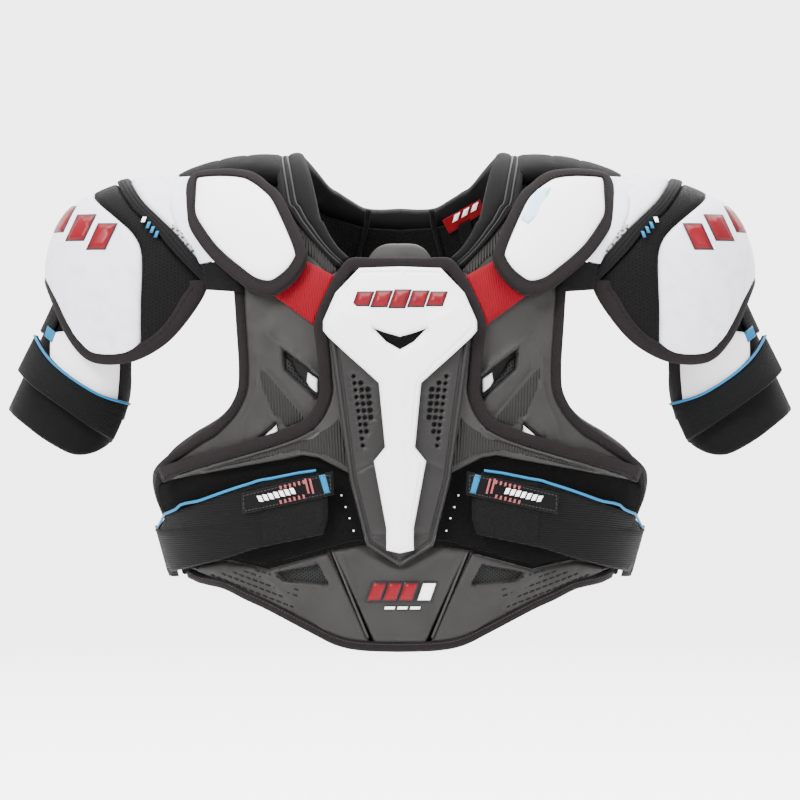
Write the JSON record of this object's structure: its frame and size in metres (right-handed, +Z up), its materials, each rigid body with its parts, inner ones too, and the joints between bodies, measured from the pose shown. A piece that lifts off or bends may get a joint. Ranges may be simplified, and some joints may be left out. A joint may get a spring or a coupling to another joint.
{
  "type": "hockey shoulder pads",
  "caption": "Padded hockey vest with a hinged back, floating sternum and clavicle pads, raised shoulder caps, bicep guards and wrap-round belly straps.",
  "frame": {"origin": "middle of the neck opening, at the height where the pads rest on the shoulders", "axes": "+Z up, the chest faces -Y and the back +Y, +X to the viewer's right when facing the chest"},
  "size_m": [0.6462, 0.2798, 0.4079],
  "materials": {
    "white_moulded_shell": "satin moulded shell",
    "white_cap_fabric": "laminated woven cap cover",
    "grey_moulded_foam": "matt compression-moulded foam",
    "dark_grey_plastic": "matt moulded plastic",
    "black_liner_mesh": "knitted lining",
    "black_padded_foam": "fabric-covered foam",
    "charcoal_binding_tape": "folded knit tape",
    "black_elastic": "ribbed woven elastic",
    "black_loop_pile": "loop pile",
    "red_stretch_fabric": "stretch knit",
    "red_woven_label": "woven label"
  },
  "bodies": {
    "vest": {"armhole_binding_left": "charcoal_binding_tape", "armhole_binding_right": "charcoal_binding_tape", "chest_panel_left": "grey_moulded_foam", "chest_panel_right": "grey_moulded_foam", "clavicle_stretch_left": "red_stretch_fabric", "clavicle_stretch_right": "red_stretch_fabric", "front_collar_left": "black_padded_foam", "front_collar_right": "black_padded_foam", "shoulder_bridge_front_left": "black_padded_foam", "shoulder_bridge_front_right": "black_padded_foam", "yoke_binding": "charcoal_binding_tape", "rib_panel": "grey_moulded_foam", "loop_band": "black_loop_pile", "chest_liner": "black_liner_mesh"},
    "back": {"shoulder_bridge_rear_left": "black_padded_foam", "shoulder_bridge_rear_right": "black_padded_foam", "back_binding": "charcoal_binding_tape", "back_panel": "grey_moulded_foam", "back_liner": "black_liner_mesh", "back_collar": "black_padded_foam", "collar_label": "red_woven_label", "scapula_pad_left": "black_padded_foam", "scapula_pad_right": "black_padded_foam", "spine_guard": "white_moulded_shell"},
    "sternum": {"sternum_carrier": "dark_grey_plastic", "sternum_cap": "white_moulded_shell"},
    "belly": {"belly_binding": "charcoal_binding_tape", "belly_wing_left": "grey_moulded_foam", "belly_wing_right": "grey_moulded_foam", "belly_centre": "grey_moulded_foam"},
    "belly_strap_left": {"belly_strap_left": "black_elastic", "belly_strap_tab_left": "black_liner_mesh"},
    "floater_left": {"floater_binding_left": "charcoal_binding_tape", "floater_pad_left": "white_moulded_shell"},
    "cap_left": {"cap_binding_left": "charcoal_binding_tape", "cap_shell_left": "white_cap_fabric", "cap_foam_left": "black_padded_foam", "cap_link_left": "black_elastic"},
    "bicep_hanger_left": {"bicep_hanger_left": "black_elastic"},
    "bicep_guard_left": {"bicep_guard_body_left": "black_padded_foam", "bicep_plate_left": "white_moulded_shell"},
    "bicep_strap_left": {"bicep_strap_left": "black_elastic"},
    "belly_strap_right": {"belly_strap_right": "black_elastic", "belly_strap_tab_right": "black_liner_mesh"},
    "floater_right": {"floater_binding_right": "charcoal_binding_tape", "floater_pad_right": "white_moulded_shell"},
    "cap_right": {"cap_binding_right": "charcoal_binding_tape", "cap_shell_right": "white_cap_fabric", "cap_foam_right": "black_padded_foam", "cap_link_right": "black_elastic"},
    "bicep_hanger_right": {"bicep_hanger_right": "black_elastic"},
    "bicep_guard_right": {"bicep_guard_body_right": "black_padded_foam", "bicep_plate_right": "white_moulded_shell"},
    "bicep_strap_right": {"bicep_strap_right": "black_elastic"}
  },
  "joints": [
    {"name": "back_opening", "type": "hinge", "parent": "vest", "child": "back", "pos_m": [0, 0, 0.028], "axis": [1, 0, 0], "range_deg": [0, 27]},
    {"name": "sternum_lift", "type": "hinge", "parent": "vest", "child": "sternum", "pos_m": [0, -0.128, -0.066], "axis": [-1, 0, 0], "range_deg": [0, 12], "stiffness_Nm_per_rad": 0.3},
    {"name": "belly_flex", "type": "hinge", "parent": "vest", "child": "belly", "pos_m": [0, -0.118, -0.289], "axis": [-1, 0, 0], "range_deg": [0, 18], "stiffness_Nm_per_rad": 0.3},
    {"name": "belly_strap_left_open", "type": "hinge", "parent": "back", "child": "belly_strap_left", "pos_m": [-0.18929, 0.03654, -0.298], "axis": [0, 0, -1], "range_deg": [0, 100]},
    {"name": "belly_strap_right_open", "type": "hinge", "parent": "back", "child": "belly_strap_right", "pos_m": [0.18929, 0.03654, -0.298], "axis": [0, 0, 1], "range_deg": [0, 100]},
    {"name": "cap_left_raise", "type": "hinge", "parent": "vest", "child": "cap_left", "pos_m": [-0.175, 0, 0.009], "axis": [0, 1, 0], "range_deg": [0, 60]},
    {"name": "floater_left_lift", "type": "hinge", "parent": "vest", "child": "floater_left", "pos_m": [-0.0865, -0.101, -0.037], "axis": [-0.3759, 0.5418, 0.7518], "range_deg": [0, 20]},
    {"name": "bicep_hanger_left_swing", "type": "hinge", "parent": "cap_left", "child": "bicep_hanger_left", "pos_m": [-0.271, 0, -0.08], "axis": [0, 1, 0], "range_deg": [0, 25]},
    {"name": "bicep_guard_left_adjust", "type": "slide", "parent": "bicep_hanger_left", "child": "bicep_guard_left", "axis": [-0.342, 0, -0.9397], "range_m": [0, 0.02]},
    {"name": "bicep_strap_left_open", "type": "hinge", "parent": "bicep_guard_left", "child": "bicep_strap_left", "pos_m": [-0.31432, 0.00515, -0.14925], "axis": [-0.342, 0, -0.9397], "range_deg": [0, 70]},
    {"name": "cap_right_raise", "type": "hinge", "parent": "vest", "child": "cap_right", "pos_m": [0.175, 0, 0.009], "axis": [0, -1, 0], "range_deg": [0, 60]},
    {"name": "floater_right_lift", "type": "hinge", "parent": "vest", "child": "floater_right", "pos_m": [0.0865, -0.101, -0.037], "axis": [-0.3759, -0.5418, -0.7518], "range_deg": [0, 20]},
    {"name": "bicep_hanger_right_swing", "type": "hinge", "parent": "cap_right", "child": "bicep_hanger_right", "pos_m": [0.271, 0, -0.08], "axis": [0, -1, 0], "range_deg": [0, 25]},
    {"name": "bicep_guard_right_adjust", "type": "slide", "parent": "bicep_hanger_right", "child": "bicep_guard_right", "axis": [0.342, 0, -0.9397], "range_m": [0, 0.02]},
    {"name": "bicep_strap_right_open", "type": "hinge", "parent": "bicep_guard_right", "child": "bicep_strap_right", "pos_m": [0.31432, 0.00515, -0.14925], "axis": [-0.342, 0, 0.9397], "range_deg": [0, 70]}
  ],
  "couplings": [
    {"joint": "belly_strap_right_open", "follows": "belly_strap_left_open", "ratio": 1},
    {"joint": "back_opening", "follows": "belly_strap_left_open", "ratio": 0.27},
    {"joint": "floater_left_lift", "follows": "cap_left_raise", "ratio": 0.333},
    {"joint": "floater_right_lift", "follows": "cap_right_raise", "ratio": 0.333}
  ]
}
